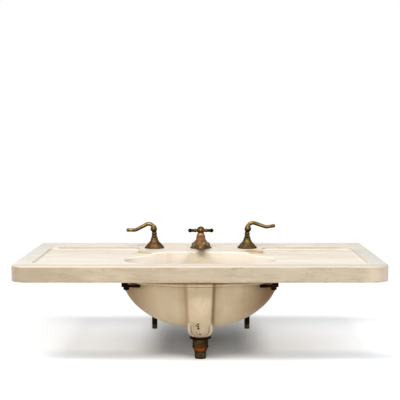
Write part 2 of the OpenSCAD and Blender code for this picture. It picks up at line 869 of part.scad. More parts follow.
module valve_body() {
  difference() {
    union() {
      translate([0, 0, 10]) cylinder(r = 9.1, h = neck_z - 10);
      translate([0, 0, cross_z]) cylinder(r = shank_r, h = 12 - cross_z);
      translate([0, 0, body_low]) cylinder(r = chest_r, h = chest_top - body_low);
      translate([0, 0, cross_z]) side_port(port_x);
    }
    translate([0, 0, cross_z]) side_bore(port_x + eps);
    translate([0, 0, body_low - eps]) cylinder(r = nipple_r, h = key_low - gap - body_low + eps);
    key_taper(2 * fit, gap);
    translate([0, 0, key_top]) cylinder(r = stem_r + fit, h = neck_z - key_top);
    translate([0, 0, neck_z - packing_h]) cylinder(r = packing_r, h = packing_h + eps);
  }
}

module inlet_nipple() {
  difference() {
    union() {
      translate([0, 0, union_z]) cylinder(r = nipple_r, h = key_low - 2 * gap - union_z);
      translate([0, 0, body_low - nipple_hex_t]) hex(nipple_flats, nipple_hex_t);
    }
    translate([0, 0, union_z - eps]) cylinder(r = key_hole_r + 1, h = key_low - union_z + 2 * eps);
  }
}

module shank_washer() {
  washer_r = 24;
  translate([0, 0, under_z - washer_t]) ring(washer_r, shank_r + 0.4, washer_t);
}

module shank_locknut() {
  shank_nut_flats = 40;
  translate([0, 0, shank_nut_z]) hex_ring(shank_nut_flats, shank_r, shank_nut_t);
}

collar_t = 4;

// The nut pulls the collar of the supply tail up to the nipple
module tail_nut() {
  nut_floor = 6;
  nut_h = 16;
  nut_flats = 30;
  translate([0, 0, union_z - collar_t - nut_floor]) difference() {
    hex(nut_flats, nut_h);
    translate([0, 0, -eps]) cylinder(r = tail_r + 0.2, h = nut_h);
    translate([0, 0, nut_floor]) cylinder(r = nipple_r, h = nut_h);
  }
}

// The tail ends in a pipe thread, drawn as a plain cylinder of the thread's middle radius
module supply_tail() {
  thread_h = 14;
  thread_cut = 0.5;
  pipe_end = tail_end + thread_h;
  difference() {
    union() {
      translate([0, 0, tail_end]) cylinder(r = tail_r - thread_cut, h = thread_h + eps);
      translate([0, 0, pipe_end]) cylinder(r = tail_r, h = union_z - gap - pipe_end);
      translate([0, 0, union_z - collar_t + gap]) cylinder(r = nipple_r - 0.5, h = collar_t - 2 * gap);
    }
    translate([0, 0, tail_end - eps]) cylinder(r = tail_r - 1.9, h = tail_drop);
  }
}

tube_r = 6.35;
port_grip = 5;

module crossover() {
  translate([port_x + gap, 0, cross_z]) rotate([0, 90, 0])
    ring(tube_r, tube_r - 1.15, valve_x - 2 * port_x - 2 * gap);
}

module crossover_nut() {
  nut_h = 14;
  nut_flats = 25;
  rotate([0, 90, 0]) difference() {
    hex(nut_flats, nut_h);
    translate([0, 0, -eps]) cylinder(r = tube_r + fit, h = nut_h + 2 * eps);
    translate([0, 0, -eps]) cylinder(r = port_r, h = port_grip + eps);
  }
}

module crossover_nuts() {
  translate([port_x - port_grip, 0, cross_z]) crossover_nut();
  translate([valve_x - port_x + port_grip, 0, cross_z]) mirror([1, 0, 0]) crossover_nut();
}

module hot_lever() { color("saddlebrown") at_hot() lever(hot_slope, 2, 0); }
module hot_lever_screw() { color("peru") at_hot() lever_screw(); }
module hot_stem() { color("peru") at_hot() valve_stem(); }
module hot_packing() { color("darkkhaki") at_hot() packing(); }
module hot_packing_nut() { color("peru") at_hot() packing_nut(); }
module hot_escutcheon() { color("saddlebrown") at_hot() escutcheon(); }
module hot_valve_body() { color("peru") at_hot() valve_body(); }
module hot_washer() { color("dimgray") at_hot() shank_washer(); }
module hot_locknut() { color("peru") at_hot() shank_locknut(); }
module hot_inlet_nipple() { color("peru") at_hot() inlet_nipple(); }
module hot_tail_nut() { color("peru") at_hot() tail_nut(); }
module hot_supply_tail() { color("olive") at_hot() supply_tail(); }
module hot_crossover() { color("peru") at_hot() crossover(); }
module hot_crossover_nuts() { color("peru") at_hot() crossover_nuts(); }

module cold_lever() { color("saddlebrown") at_cold() lever(cold_slope, 10, 3.5); }
module cold_lever_screw() { color("peru") at_cold() lever_screw(); }
module cold_stem() { color("peru") at_cold() valve_stem(); }
module cold_packing() { color("darkkhaki") at_cold() packing(); }
module cold_packing_nut() { color("peru") at_cold() packing_nut(); }
module cold_escutcheon() { color("saddlebrown") at_cold() escutcheon(); }
module cold_valve_body() { color("peru") at_cold() valve_body(); }
module cold_washer() { color("dimgray") at_cold() shank_washer(); }
module cold_locknut() { color("peru") at_cold() shank_locknut(); }
module cold_inlet_nipple() { color("peru") at_cold() inlet_nipple(); }
module cold_tail_nut() { color("peru") at_cold() tail_nut(); }
module cold_supply_tail() { color("olive") at_cold() supply_tail(); }
module cold_crossover() { color("peru") at_cold() crossover(); }
module cold_crossover_nuts() { color("peru") at_cold() crossover_nuts(); }

marble_top();
basin();
basin_bedding();
clamp_leads();
clamp_bars();
clamp_bolts();
clamp_nuts();
spout();
spout_washer();
spout_locknut();
spout_tee();
lift_handle();
lift_rod();
lift_strap();
strap_screw();
drain_flange();
drain_gasket();
drain_locknut();
drain_body();
drain_tail();
popup_plug();
plug_seal();
pivot_rod();
pivot_seals();
pivot_nut();
hot_lever();
hot_lever_screw();
hot_stem();
hot_packing();
hot_packing_nut();
hot_escutcheon();
hot_valve_body();
hot_washer();
hot_locknut();
hot_inlet_nipple();
hot_tail_nut();
hot_supply_tail();
hot_crossover();
hot_crossover_nuts();
cold_lever();
cold_lever_screw();
cold_stem();
cold_packing();
cold_packing_nut();
cold_escutcheon();
cold_valve_body();
cold_washer();
cold_locknut();
cold_inlet_nipple();
cold_tail_nut();
cold_supply_tail();
cold_crossover();
cold_crossover_nuts();
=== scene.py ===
# The looks of an old marble lavatory top: aged marble, crazed china and antique brass,
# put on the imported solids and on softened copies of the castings.
import json
import math
import random

import bpy
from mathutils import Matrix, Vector

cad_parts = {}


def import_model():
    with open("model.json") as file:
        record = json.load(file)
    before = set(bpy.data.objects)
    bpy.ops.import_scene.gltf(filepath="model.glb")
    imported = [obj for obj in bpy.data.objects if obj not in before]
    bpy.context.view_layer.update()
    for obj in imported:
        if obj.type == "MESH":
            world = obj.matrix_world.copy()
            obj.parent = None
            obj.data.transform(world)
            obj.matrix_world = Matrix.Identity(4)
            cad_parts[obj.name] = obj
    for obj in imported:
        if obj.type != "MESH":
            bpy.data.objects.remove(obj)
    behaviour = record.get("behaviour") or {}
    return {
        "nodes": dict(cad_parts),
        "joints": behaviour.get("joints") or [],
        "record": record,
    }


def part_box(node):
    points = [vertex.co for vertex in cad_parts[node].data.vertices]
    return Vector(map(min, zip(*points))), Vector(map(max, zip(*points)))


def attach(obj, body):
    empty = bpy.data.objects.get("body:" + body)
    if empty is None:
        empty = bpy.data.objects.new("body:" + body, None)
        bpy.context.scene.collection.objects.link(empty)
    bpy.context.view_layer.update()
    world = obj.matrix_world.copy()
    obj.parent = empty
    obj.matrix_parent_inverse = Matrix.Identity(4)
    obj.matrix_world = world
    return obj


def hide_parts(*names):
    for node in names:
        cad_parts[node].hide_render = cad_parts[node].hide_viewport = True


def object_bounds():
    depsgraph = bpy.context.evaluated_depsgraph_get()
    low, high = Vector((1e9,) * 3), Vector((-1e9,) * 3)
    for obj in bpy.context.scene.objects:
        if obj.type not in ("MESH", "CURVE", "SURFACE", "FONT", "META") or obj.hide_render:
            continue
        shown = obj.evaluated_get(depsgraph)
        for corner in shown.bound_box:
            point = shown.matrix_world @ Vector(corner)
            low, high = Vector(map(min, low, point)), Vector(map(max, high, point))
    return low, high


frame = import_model()
cad_low, cad_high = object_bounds()
NODE = frame["nodes"]
JOINT = {joint["name"]: joint for joint in frame["joints"]}
MOUNT = {mount["name"]: mount for mount in frame["record"]["mounts"]}

# Sizes are in metres, with x to the right, y towards the wall and z up from the top of the slab.
# From the frame: the taps' stems, the middle of the bowl, the marble's underside, the rim and the tails' ends
TAP_X = {side: JOINT[side + "_turn"]["pos_m"][0] for side in ("hot", "cold")}
TAP_Y = JOINT["hot_turn"]["pos_m"][1]
BOWL_Y = MOUNT["waste_outlet"]["pos_m"][1]
UNDER_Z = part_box("marble_top")[0].z
RIM_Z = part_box("basin")[1].z
TAIL_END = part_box("hot_supply_tail")[0].z
TAIL_THREAD_R = MOUNT["hot_inlet"]["dims"]["r_mm"] / 1000
TAIL_THREAD_H = MOUNT["hot_inlet"]["dims"]["length_mm"] / 1000

# As in the solids: half axes of the opening
CUT_A = 0.225
CUT_B = 0.132
# Half width of the overflow chamber at the rim, and its loss for each metre further down
CHAMBER_TOP_HALF = 0.042
CHAMBER_TAPER = 0.037
# Outer radius of the tails, and the pitch of their thread
TAIL_R = 0.00857
TAIL_THREAD_PITCH = 0.00141

# Castings: voxel of the remesh and rounds of smoothing
SOFTENING = {"basin": (0.0026, 16), "spout": (0.0009, 4), "lift_handle": (0.0006, 3), "lever": (0.0006, 4),
             "escutcheon": (0.0009, 2)}

# How far the levers and the T-handle stand outside their solids
LEVER_FULLER = 0.0008
HANDLE_FULLER = 0.0013
# Where that starts and is full: the distance from the stem for an arm, the height for a hub and the T-handle
ARM_EASE = (0.011, 0.020)
HUB_EASE = (0.055, 0.060)
HANDLE_EASE = (0.0505, 0.0545)
# Height under the sink's highest point over which the levers' growth fades out
TOP_ROOM = 0.004

# Bead of putty: half axes of its oval, and its points along and around it
BEAD_A = 0.2515
BEAD_B = 0.1585
BEAD_STEPS = 900
BEAD_AROUND = 10
# Its mean and least radius, the size of its waves, and its width as a share of its height
BEAD_R = 0.0014
BEAD_LEAST_R = 0.0007
BEAD_WAVE = 0.00045
BEAD_FLAT = 0.9
# How far its middle hangs under the marble, and the radius from which it hangs lower
BEAD_HANG = 0.0017
BEAD_HEAVY_R = 0.0016
# Its lumps: x, half width, growth and drop
BEAD_LUMPS = ((-0.081, 0.0050, 0.0024, 0.0016), (0.037, 0.0040, 0.0022, 0.0030),
              (-0.118, 0.0080, 0.0010, 0.0), (0.128, 0.0060, 0.0012, 0.0006), (0.005, 0.0070, 0.0008, 0.0))

# Thread on the tails: points on each turn, lengths left free at its low and high end, depth its foot sinks in
THREAD_AROUND = 40
THREAD_FREE = (0.0006, 0.0004)
THREAD_SINK = 0.00005
# Its profile, as shares of the pitch and of the height
THREAD_PROFILE = ((0.0, 0.0), (0.42, 1.0), (0.58, 1.0), (1.0, 0.0))

# Marks, as centre and size: rust and tea by the taps, red and teal on the spout
RUST = ((0.166, -0.224, 0), (0.042, 0.034, 0.02))
TEA = ((-0.180, -0.222, 0), (0.046, 0.028, 0.02))
RED = ((0.015, -0.150, 0.024), (0.018, 0.06, 0.014))
TEAL = ((0.0108, -0.272, 0.0275), (0.0060, 0.05, 0.0054))
# Chips at the foot of the overflow chamber, as x, z and size
CHIPS = ((-0.0056, -0.1805, 0.0036), (-0.0056, -0.1885, 0.0036), (-0.0048, -0.1965, 0.0044),
         (-0.0100, -0.1860, 0.0024), (-0.0004, -0.2210, 0.0036))
# Height below which the lines on the chamber bend inwards, and how strongly
FOOT_Z = -0.208
FOOT_BEND = 14.0

# Tint of the metals' reflections at a grazing angle
METAL_EDGE = (0.10, 0.07, 0.04, 1.0)
# Metals without marks: colour where rubbed, where dull and of the crust, and range of roughness. Some go on
# with the grain and amount of the crust, and the amount and colour of a bloom
PLAIN_METALS = {
    "brown_brass": ((114, 86, 52), (82, 61, 36), (40, 28, 15), (0.42, 0.60), 260.0, 0.55),
    "olive_brass": ((108, 88, 52), (80, 65, 38), (40, 32, 17), (0.42, 0.60), 240.0, 0.70),
    "rough_brass": ((150, 116, 66), (110, 84, 50), (58, 44, 28), (0.42, 0.62)),
    "black_brass": ((30, 18, 8), (22, 12, 5), (12, 6, 3), (0.55, 0.75)),
    "green_brass": ((84, 72, 46), (58, 48, 29), (30, 24, 14), (0.42, 0.62), 220.0, 0.5,
                    (0.4, (82, 88, 64))),
    "green_thread": ((116, 108, 76), (88, 80, 54), (40, 34, 22), (0.50, 0.70)),
    "poured_lead": ((104, 106, 110), (78, 80, 84), (46, 46, 48), (0.50, 0.70)),
}

# Floor: half its width, and its gap under the sink
FLOOR_HALF = 12.0
FLOOR_GAP = 0.0005
# Its seen colour rises with the distance from this middle, which also deepens the shade near the sink as
# painted shade: power and level of the rise
FLOOR_MIDDLE = (0.01, -0.09)
FLOOR_RISE = 0.27
FLOOR_LEVEL = 1.6
# The outer shadow is this much paler, about this x, and has a cool tint
FLOOR_SHADE = 1.55
FLOOR_SHADE_X = 0.085
FLOOR_COOL = (0.95, 1.0, 1.06, 1)
# Its colour for rays that aren't seen
FLOOR_BOUNCE = (0.62, 0.62, 0.62, 1)

# World: white where it is seen, and the level of its fill for the rest
WHITE = (1, 1, 1, 1)
FILL = 0.38
# Lamps: name, place, target, width and height, power
LAMPS = (("key", (-0.5, -2.3, 2.2), (0, -0.3, -0.05), (2.4, 0.8), 86),
         ("low", (-0.3, -3.6, 0.95), (0, -0.3, -0.25), (0.8, 0.4), 18))

# Camera, solved from the slab's corners: place, degrees that it looks down, sensor and lens in mm, shift
EYE = (0.0216, -3.2238, 0.3841)
EYE_DOWN = 4.265
SENSOR = 36.0
LENS = 86.94
LENS_SHIFT = -0.0188


def linear(red, green, blue):
    """A colour given in screen values from 0 to 255, as the shader wants it."""
    def one(value):
        v = value / 255
        return v / 12.92 if v <= 0.04045 else ((v + 0.055) / 1.055) ** 2.4
    return one(red), one(green), one(blue), 1.0


class Shader:
    """A node material, with a short call for each node that the materials need.

    Colours that are given as three numbers are screen values from 0 to 255.
    """

    def __init__(self, name, kind="ShaderNodeBsdfPrincipled"):
        self.material = bpy.data.materials.new(name)
        self.material.use_nodes = True
        self.tree = self.material.node_tree
        self.tree.nodes.clear()
        self.surface = self.add(kind)
        out = self.add("ShaderNodeOutputMaterial")
        self.tree.links.new(self.surface.outputs[0], out.inputs["Surface"])
        where = self.add("ShaderNodeTexCoord")
        self.place = where.outputs["Object"]
        self.normal = where.outputs["Normal"]

    def add(self, kind):
        return self.tree.nodes.new(kind)

    def put(self, socket, value):
        if isinstance(value, bpy.types.NodeSocket):
            self.tree.links.new(value, socket)
        else:
            socket.default_value = value

    def set(self, **values):
        """Sets sockets of the surface shader, with spaces in their names written as underscores."""
        for key, value in values.items():
            self.put(self.surface.inputs[key.replace("_", " ")], value)

    # Patterns

    def stretched(self, x, y, z, shift=(0, 0, 0)):
        node = self.add("ShaderNodeMapping")
        self.put(node.inputs["Vector"], self.place)
        node.inputs["Scale"].default_value = (x, y, z)
        node.inputs["Location"].default_value = shift
        return node.outputs[0]

    def noise(self, scale, detail=4.0, rough=0.55, twist=0.0, place=None):
        node = self.add("ShaderNodeTexNoise")
        self.put(node.inputs["Vector"], place or self.place)
        node.inputs["Scale"].default_value = scale
        node.inputs["Detail"].default_value = detail
        node.inputs["Roughness"].default_value = rough
        node.inputs["Distortion"].default_value = twist
        return node.outputs["Fac"]

    def veins(self, scale, place, width, twist):
        """Thin wandering lines, 1 on the line."""
        return self.stripe(self.noise(scale, 5, 0.5, twist, place), 0.5, width)

    def cracks(self, scale, width):
        """The borders between cells, 1 on the border."""
        node = self.add("ShaderNodeTexVoronoi")
        node.feature = "DISTANCE_TO_EDGE"
        self.put(node.inputs["Vector"], self.place)
        node.inputs["Scale"].default_value = scale
        return self.fade(node.outputs["Distance"], width, 0.0)

    def spot(self, centre, size, soft, rough, scale=60.0):
        """1 inside an ellipsoid about centre, fading to 0 at its edge, with a ragged outline."""
        move = self.add("ShaderNodeVectorMath")
        move.operation = "SUBTRACT"
        self.put(move.inputs[0], self.place)
        move.inputs[1].default_value = centre
        shrink = self.add("ShaderNodeVectorMath")
        shrink.operation = "DIVIDE"
        self.put(shrink.inputs[0], move.outputs[0])
        shrink.inputs[1].default_value = size
        length = self.add("ShaderNodeVectorMath")
        length.operation = "LENGTH"
        self.put(length.inputs[0], shrink.outputs[0])
        ragged = self.calc("MULTIPLY", self.calc("SUBTRACT", self.noise(scale), 0.5), rough)
        reach = self.calc("ADD", length.outputs["Value"], ragged)
        return self.fade(reach, 1.0, 1.0 - soft)

    def crevice(self, distance):
        """1 in the open, towards 0 where surfaces meet."""
        node = self.add("ShaderNodeAmbientOcclusion")
        node.samples = 8
        node.only_local = False
        node.inputs["Distance"].default_value = distance
        return node.outputs["AO"]

    def bump(self, height, strength, distance, below=None):
        node = self.add("ShaderNodeBump")
        node.inputs["Strength"].default_value = strength
        node.inputs["Distance"].default_value = distance
        self.put(node.inputs["Height"], height)
        if below is not None:
            self.put(node.inputs["Normal"], below)
        return node.outputs[0]

    # Sums

    def split(self, vector):
        node = self.add("ShaderNodeSeparateXYZ")
        self.put(node.inputs[0], vector)
        return node.outputs

    def calc(self, operation, a, b=0.0):
        node = self.add("ShaderNodeMath")
        node.operation = operation
        self.put(node.inputs[0], a)
        self.put(node.inputs[1], b)
        return node.outputs[0]

    def times(self, *values):
        total = values[0]
        for value in values[1:]:
            total = self.calc("MULTIPLY", total, value)
        return total

    def most(self, *values):
        """The largest of values."""
        found = values[0]
        for value in values[1:]:
            found = self.calc("MAXIMUM", found, value)
        return found

    def away(self, value, middle=0.0):
        """How far value lies from middle."""
        return self.calc("ABSOLUTE", self.calc("SUBTRACT", value, middle) if middle else value)

    def reach(self, across, along):
        """The length of a line that leads across and along."""
        squares = self.calc("POWER", across, 2.0), self.calc("POWER", along, 2.0)
        return self.calc("SQRT", self.calc("ADD", *squares))

    def fade(self, value, low, high, start=0.0, end=1.0):
        """start at low and before it, end at high and beyond, with a smooth step between.

        Where low is the larger, value falls from low to high.
        """
        node = self.add("ShaderNodeMapRange")
        node.interpolation_type = "SMOOTHSTEP"
        self.put(node.inputs["Value"], value)
        if low > high:
            low, high, start, end = high, low, end, start
        node.inputs["From Min"].default_value = low
        node.inputs["From Max"].default_value = high
        node.inputs["To Min"].default_value = start
        node.inputs["To Max"].default_value = end
        return node.outputs["Result"]

    def stripe(self, value, middle, edge, core=0.0):
        """1 where value is within core of middle, fading to 0 at edge."""
        return self.fade(self.away(value, middle), edge, core)

    # Colours

    def mix(self, amount, a, b, mode="MIX"):
        node = self.add("ShaderNodeMix")
        node.data_type = "RGBA"
        node.blend_type = mode
        self.put(node.inputs["Factor"], amount)
        self.put(node.inputs[6], a)
        self.put(node.inputs[7], b)
        return node.outputs[2]

    def blend(self, amount, a, b):
        """The screen colour a where amount is 0, b where it is 1."""
        return self.mix(amount, linear(*a), linear(*b))

    def stain(self, colour, tint, *amounts):
        """colour, moved towards the screen colour tint by the product of amounts."""
        return self.mix(self.times(*amounts), colour, linear(*tint))

    def restain(self, tint, *amounts):
        """Moves the surface's finished colour towards tint by the product of amounts."""
        finished = self.surface.inputs["Base Color"].links[0].from_socket
        self.set(Base_Color=self.stain(finished, tint, *amounts))

    def grey(self, value):
        node = self.add("ShaderNodeCombineXYZ")
        for socket in node.inputs:
            self.put(socket, value)
        return node.outputs[0]


# Marble

def border_paint(s, x, y):
    """The raised border, the ledge and the deck: cool white with soft grey clouds and thin veins."""
    clouds = s.fade(s.noise(5, 5, 0.6, 0.5, s.stretched(0.7, 2.2, 3)), 0.38, 0.66)
    colour = s.blend(clouds, (240, 232, 220), (229, 221, 208))
    colour = s.stain(colour, (222, 219, 208), s.fade(s.away(x), 0.24, 0.52), 0.4)
    colour = s.stain(colour, (211, 201, 185), s.fade(y, -0.50, -0.53), 0.9)

    ends = s.fade(s.away(x), 0.470, 0.486)
    patches = s.fade(s.noise(22, 4, 0.6, 0.3, s.stretched(1, 0.6, 1, (2, 9, 4))), 0.38, 0.62, 0.35, 1.0)
    colour = s.stain(colour, (200, 196, 186), ends, patches, s.fade(x, -0.1, 0.1, 0.30, 0.45))

    deck = s.times(s.fade(s.away(x), 0.24, 0.17), s.fade(y, -0.285, -0.265))
    colour = s.stain(colour, (241, 227, 205), deck, 0.75)
    ledge = s.times(s.fade(x, -0.10, 0.10), s.fade(y, -0.20, -0.14))
    colour = s.stain(colour, (246, 235, 219), ledge, 0.5)
    veins = s.veins(15, s.stretched(0.35, 2.4, 3.4, (4, 1, 2)), 0.020, 0.9)
    return s.stain(colour, (198, 190, 176), veins, 0.35)


def sunk_paint(s, x):
    """The sunk surface: warmer and lighter, with faint slanted streaks, and greyer at the left."""
    clouds = s.fade(s.noise(6, 5, 0.6, 0.4, s.stretched(0.5, 2.8, 3)), 0.35, 0.7)
    colour = s.blend(clouds, (245, 236, 221), (234, 221, 202))
    streaks = s.veins(9, s.stretched(0.4, 2.8, 3.2, (1, 7, 3)), 0.022, 1.0)
    colour = s.stain(colour, (206, 188, 160), streaks, 0.40)
    return s.stain(colour, (226, 218, 204), s.fade(x, -0.12, -0.30), 0.35)


def top_paint(s, x, y, z):
    """All that faces up, with wear towards the wall, rust by the right tap and a tea stain by the left."""
    sunk = s.fade(z, -0.0035, -0.0065)
    colour = s.mix(sunk, border_paint(s, x, y), sunk_paint(s, x))
    wear = s.fade(s.noise(24, 5, 0.6, 0.3, s.stretched(0.6, 2.4, 2)), 0.52, 0.68)
    colour = s.stain(colour, (200, 178, 144), wear, s.fade(y, -0.34, -0.20), 0.42)
    colour = s.stain(colour, (198, 150, 44), s.spot(*RUST, 0.6, 0.7), 0.9)
    return s.stain(colour, (190, 162, 122), s.spot(*TEA, 0.9, 0.9), 0.65)


def face_paint(s, x, z):
    """The front and side faces: yellowed, and darker than the top partly as painted shade, finely mottled and
    scratched, with a brown foot.
    """
    clouds = s.fade(s.noise(8, 6, 0.62, 0.4, s.stretched(0.6, 1, 1.8)), 0.36, 0.66)
    colour = s.blend(clouds, (190, 174, 149), (170, 154, 129))

    # Lighter from the middle to the right, but for the stretch before the corner
    colour = s.stain(colour, (212, 199, 177), s.fade(x, -0.10, 0.35), 0.45)
    colour = s.stain(colour, (176, 163, 140), s.fade(x, 0.22, 0.34), s.fade(x, 0.50, 0.45), 0.4)

    mottle = s.fade(s.noise(26, 5, 0.65, 0.3, s.stretched(0.35, 1, 2.4, (3, 2, 1))), 0.50, 0.72)
    colour = s.stain(colour, (158, 143, 122), mottle, 0.55)
    scratches = s.veins(22, s.stretched(0.30, 1, 2.6, (5, 2, 8)), 0.014, 0.7)
    colour = s.stain(colour, (146, 127, 101), scratches, 0.50)

    # Darker towards the left, pale round the right corner, pinkish on both side faces
    colour = s.stain(colour, (164, 148, 124), s.fade(x, -0.30, -0.50), 0.35)
    colour = s.stain(colour, (226, 208, 186), s.fade(x, 0.43, 0.53), 0.7)
    # Painted light: the right end, turned away from the lamps, is made lighter still
    colour = s.stain(colour, (255, 234, 214), s.fade(x, 0.505, 0.533), 0.95)
    colour = s.stain(colour, (216, 196, 178), s.fade(x, -0.515, -0.532), 0.7)

    foot = s.times(s.fade(z, -0.037, UNDER_Z), s.fade(s.noise(40), 0.42, 0.62))
    return s.stain(colour, (146, 120, 86), foot, 0.45)


def wall_paint(s, x, y, z):
    """The cut wall of the opening: cream with runs of tea colour, darker lower down as painted shade, tan
    below the spout, and pale at its ends as painted light.
    """
    # Painted shade: the wall is darker towards its bottom
    colour = s.blend(s.fade(z, -0.012, -0.042), (243, 234, 221), (230, 220, 202))
    runs = s.fade(s.noise(30, 4, 0.6, 0.2, s.stretched(1, 1, 0.12)), 0.45, 0.75)
    colour = s.stain(colour, (206, 188, 156), runs, 0.35)
    # Tan below the spout, widening downwards
    spread = s.calc("ADD", 0.030, s.calc("MULTIPLY", z, -0.7))
    tan_below_spout = s.fade(s.calc("DIVIDE", s.away(x, -0.004), spread), 1.3, 0.7)
    colour = s.stain(colour, (208, 195, 170), tan_below_spout, s.fade(y, -0.30, -0.25), 0.65)
    # Painted light: both ends of the wall are made pale, the left end palest, to lift their shade
    colour = s.stain(colour, (247, 239, 227), s.fade(s.away(x), 0.125, 0.205), 0.95)
    return s.stain(colour, (255, 252, 244), s.fade(x, -0.125, -0.205))


def marble():
    s = Shader("aged_marble")
    x, y, z = s.split(s.place)
    tilt = s.split(s.normal)[2]

    # How far out a point lies from the middle of the opening, as a share of the way to its edge
    share = s.reach(s.calc("DIVIDE", x, CUT_A), s.calc("DIVIDE", s.calc("SUBTRACT", y, BOWL_Y), CUT_B))
    opening = s.fade(share, 1.045, 1.015)
    upright = s.mix(opening, face_paint(s, x, z), wall_paint(s, x, y, z))
    # Upright faces are darker than the top: partly the marble's own yellowing, partly painted shade
    colour = s.mix(s.fade(tilt, 0.30, 0.85), upright, top_paint(s, x, y, z))

    # The arris round the slab, lighter: a painted highlight along with worn polish
    outer = s.most(s.fade(y, -0.535, -0.548), s.fade(s.away(x), 0.515, 0.526))
    arris = s.times(s.fade(tilt, 0.25, 0.5), s.fade(tilt, 0.97, 0.8), outer)
    colour = s.stain(colour, (220, 203, 177), arris, 0.8)

    # Brown along the edge of the sunk surface, strongest towards the wall, none at its ends
    below = s.fade(z, -0.0001, -0.0006)
    edge = s.times(below, s.fade(z, -0.0034, -0.0016), s.fade(tilt, 0.9, 0.6),
                   s.calc("SUBTRACT", 1.0, opening))
    patches = s.fade(s.noise(34, 4, 0.6), 0.34, 0.58, 0.25, 1.0)
    inside = s.fade(s.away(x), 0.40, 0.46, 1.0, 0.0)
    colour = s.stain(colour, (186, 162, 126), edge, patches, inside, s.fade(y, -0.5, -0.14, 0.30, 0.80))
    # Darker where surfaces meet: painted shade in the crevices, together with dirt
    crevice_dirt_and_shade = s.fade(s.crevice(0.008), 0.90, 0.45)
    colour = s.stain(colour, (150, 120, 84), crevice_dirt_and_shade, inside, 0.45)
    # Painted light: the end walls of the sunk surface get a paler colour that lifts their shade
    ends = s.times(s.fade(s.away(x), 0.45, 0.47), s.fade(s.away(x), 0.495, 0.490),
                   s.fade(y, -0.518, -0.510))
    painted_light_on_ends = s.times(below, s.fade(z, -0.0036, -0.0028), ends)
    colour = s.stain(colour, (255, 247, 234), painted_light_on_ends, s.fade(x, -0.1, 0.1, 0.9, 0.3))

    gloss = s.fade(s.noise(30, 3), 0.3, 0.7, 0.38, 0.55)
    waves = s.bump(s.noise(14, 3, 0.5), 0.25, 0.002)
    s.set(Base_Color=colour, Roughness=gloss, Specular_IOR_Level=0.3,
          Normal=s.bump(s.noise(420, 3, 0.6), 0.10, 0.0004, waves))
    return s.material


# China

def glaze_paint(s, x, z, outside):
    """Cream glaze with faint streaks and blushes, brown at both ends with painted shade, brown runs and
    painted light and shade on the flange.
    """
    colour = s.blend(s.fade(s.noise(7, 4, 0.5, 0.3), 0.35, 0.65), (233, 213, 179), (222, 199, 162))
    streaks = s.fade(s.noise(26, 4, 0.6, 0.2, s.stretched(1.0, 1.0, 0.18)), 0.5, 0.75)
    colour = s.stain(colour, (184, 152, 110), streaks, 0.22)
    blushes = s.fade(s.noise(11, 3, 0.5), 0.5, 0.7)
    colour = s.stain(colour, (206, 166, 128), blushes, 0.20)
    # Brown at the ends of the bowl, stronger at the right: staining, and painted shade on the sides turned
    # from the light
    colour = s.stain(colour, (122, 72, 24), s.fade(x, 0.09, 0.228), outside, 0.93)
    colour = s.stain(colour, (144, 96, 46), s.fade(x, -0.12, -0.235), outside, 0.78)

    runs = s.fade(s.noise(22, 5, 0.65, 0.3, s.stretched(1, 1, 0.4)), 0.46, 0.66)
    colour = s.stain(colour, (172, 140, 98), s.fade(z, -0.074, -0.064), runs, 0.40)
    # A dark joint under the marble, partly a painted shadow
    joint = s.times(s.fade(z, -0.060, -0.055), s.fade(s.noise(18), 0.30, 0.55, 0.4, 1.0))
    colour = s.stain(colour, (162, 124, 72), joint, 0.7)
    # Painted light: a paler band on the flange's face
    flange_light_band = s.times(s.fade(z, -0.0640, -0.0625), s.fade(z, -0.0580, -0.0595), outside)
    colour = s.stain(colour, (240, 222, 190), flange_light_band, 0.5)
    # Painted shade: a brown line along the flange's lower edge
    return s.stain(colour, (146, 112, 68), s.stripe(z, -0.0655, 0.0022, 0.0008), outside, 0.6)


def chamber_paint(s, colour, x, z, front):
    """The overflow chamber: a painted highlight along its edges, and brown in the folds beside it, dirt as
    well as painted shade.
    """
    half = s.calc("ADD", CHAMBER_TOP_HALF, s.calc("MULTIPLY", s.calc("SUBTRACT", z, RIM_Z), CHAMBER_TAPER))
    beside = s.calc("SUBTRACT", s.away(x), half)
    # Brown in the folds, stronger at the right: painted shade in the creases as well as dirt
    fold_dirt_and_shade = s.times(s.stripe(beside, -0.001, 0.0085, 0.0010), front, s.fade(z, -0.204, -0.190))
    colour = s.stain(colour, (164, 130, 88), fold_dirt_and_shade, s.fade(x, -0.01, 0.01, 0.50, 0.0))
    colour = s.stain(colour, (134, 100, 64), fold_dirt_and_shade, s.fade(x, -0.01, 0.01, 0.0, 0.80))
    # Painted shade: a soft brown falloff on the bowl beside each fold
    painted_valley_shade = s.times(s.fade(beside, 0.030, 0.006), s.fade(beside, 0.0, 0.004), front)
    colour = s.stain(colour, (170, 140, 104), painted_valley_shade, 0.28)

    # Its painted highlight along the edge and the dark line inside that, which both bend inwards at the foot
    drop = s.calc("MAXIMUM", s.calc("SUBTRACT", FOOT_Z, z), 0.0)
    inwards = s.calc("ADD", beside, s.times(s.calc("POWER", drop, 2.0), FOOT_BEND))
    painted_highlight = s.times(s.stripe(inwards, -0.0035, 0.0048, 0.0015), front,
                     s.fade(z, -0.174, -0.192), s.fade(z, -0.238, -0.230))
    colour = s.stain(colour, (252, 242, 222), painted_highlight, 0.9)
    dark = s.times(s.stripe(inwards, -0.0100, 0.0035, 0.0010), front,
                   s.fade(z, -0.180, -0.200), s.fade(z, -0.236, -0.226))
    return s.stain(colour, (150, 112, 76), dark, 0.55)


